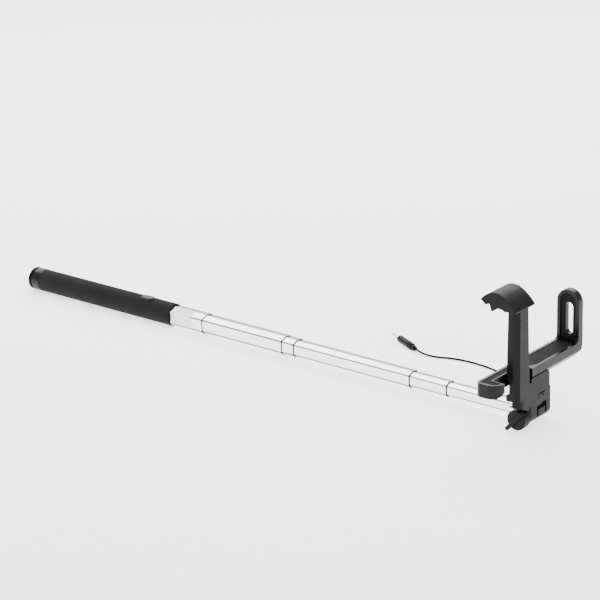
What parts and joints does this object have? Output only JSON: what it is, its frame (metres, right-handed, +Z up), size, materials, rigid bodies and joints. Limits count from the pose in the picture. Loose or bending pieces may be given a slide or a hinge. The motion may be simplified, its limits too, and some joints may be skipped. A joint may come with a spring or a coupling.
{
  "type": "telescopic selfie stick",
  "caption": "Wired telescopic selfie stick lying half extended: foam grip with shutter button, keyed steel tubes, tilting sprung phone clamp with side bracket, audio-plug cord.",
  "frame": {"origin": "centre of the end cap's outer face, on the stick's axis", "axes": "+X along the stick from the end cap to the phone holder, +Z up from the surface it lies on, +Y to the stick's left, where the bracket's upright is. The surface is at z = -12.5 mm."},
  "size_m": [0.6777, 0.1798, 0.1429],
  "materials": {
    "foam": "soft, fine-celled foam",
    "black_plastic": "satin moulded",
    "gloss_black": "glossy",
    "satin_black": "semi-gloss moulded",
    "grey_plastic": "satin moulded",
    "steel": "bright polished stainless",
    "ferrule_metal": "bright",
    "screw_steel": "dark zinc",
    "pad_rubber": "matte, brownish grey",
    "bush_plastic": "natural acetal",
    "board": "glass-fibre board",
    "label_film": "blank pale label",
    "cord_rubber": "matte jacket",
    "plug_metal": "nickel-plated brass",
    "plug_insulator": "black rings"
  },
  "bodies": {
    "handle": {"end_cap": "black_plastic", "end_ring": "gloss_black", "grip_sleeve": "foam", "button_bezel": "black_plastic", "switch_board": "board", "tact_switch": "black_plastic", "tube_1": "steel", "guide_ring_1": "black_plastic", "blank_label": "label_film"},
    "button": {"shutter_button": "gloss_black"},
    "stage_2": {"tube_2": "steel", "slide_bush_2": "bush_plastic", "guide_ring_2": "black_plastic"},
    "stage_3": {"tube_3": "steel", "slide_bush_3": "bush_plastic", "guide_ring_3": "black_plastic"},
    "stage_4": {"tube_4": "steel", "slide_bush_4": "bush_plastic", "guide_ring_4": "black_plastic"},
    "stage_5": {"tube_5": "steel", "slide_bush_5": "bush_plastic", "guide_ring_5": "black_plastic"},
    "stage_6": {"tube_6": "steel", "slide_bush_6": "bush_plastic", "tip_ferrule": "ferrule_metal", "tip_screw": "screw_steel", "hinge_tongue": "grey_plastic", "friction_washers": "bush_plastic", "cable_gland": "cord_rubber", "cable": "cord_rubber", "plug_collar": "cord_rubber", "plug_body": "grey_plastic", "plug_contacts": "plug_metal", "plug_insulators": "plug_insulator"},
    "holder": {"hinge_block": "grey_plastic", "latch_tab": "black_plastic", "hinge_nut": "screw_steel", "holder_body": "grey_plastic", "post_bush": "black_plastic", "port_plug": "cord_rubber", "base_screws": "screw_steel"},
    "knob": {"wing_knob": "grey_plastic", "hinge_bolt": "screw_steel"},
    "bracket": {"side_bracket": "satin_black", "tray_pad_near": "pad_rubber", "tray_pad_far": "pad_rubber", "upright_pad": "pad_rubber", "guide_screw": "screw_steel"},
    "clamp": {"clamp_hook": "grey_plastic", "hook_pad": "pad_rubber", "clamp_stem": "screw_steel", "stem_foot": "black_plastic", "stem_screw": "screw_steel", "clamp_spring": "screw_steel"}
  },
  "joints": [
    {"name": "shutter_press", "type": "slide", "parent": "handle", "child": "button", "axis": [0, 0.1045, -0.9945], "range_m": [0, 0.0004], "stiffness_N_per_m": 3000, "springref_m": -0.0001},
    {"name": "tube_2_slide", "type": "slide", "parent": "handle", "child": "stage_2", "axis": [1, 0, 0], "range_m": [-0.104, 0.045]},
    {"name": "tube_3_slide", "type": "slide", "parent": "stage_2", "child": "stage_3", "axis": [1, 0, 0], "range_m": [-0.0114, 0.137]},
    {"name": "tube_4_slide", "type": "slide", "parent": "stage_3", "child": "stage_4", "axis": [1, 0, 0], "range_m": [-0.143, 0.006]},
    {"name": "tube_5_slide", "type": "slide", "parent": "stage_4", "child": "stage_5", "axis": [1, 0, 0], "range_m": [-0.0407, 0.108]},
    {"name": "tube_6_slide", "type": "slide", "parent": "stage_5", "child": "stage_6", "axis": [1, 0, 0], "range_m": [-0.068, 0.08]},
    {"name": "holder_tilt", "type": "hinge", "parent": "stage_6", "child": "holder", "pos_m": [0.6673, 0, 0], "axis": [0, 1, 0], "range_deg": [-40, 90]},
    {"name": "knob_turn", "type": "hinge", "parent": "holder", "child": "knob", "pos_m": [0.6673, -0.03, 0], "axis": [0, 1, 0], "range_deg": [-360, 20]},
    {"name": "bracket_slide", "type": "slide", "parent": "holder", "child": "bracket", "axis": [0, 1, 0], "range_m": [0, 0.014]},
    {"name": "clamp_slide", "type": "slide", "parent": "holder", "child": "clamp", "axis": [0, 0, 1], "range_m": [0, 0.022], "stiffness_N_per_m": 450, "springref_m": -0.012, "deforming": ["clamp_spring"]}
  ]
}
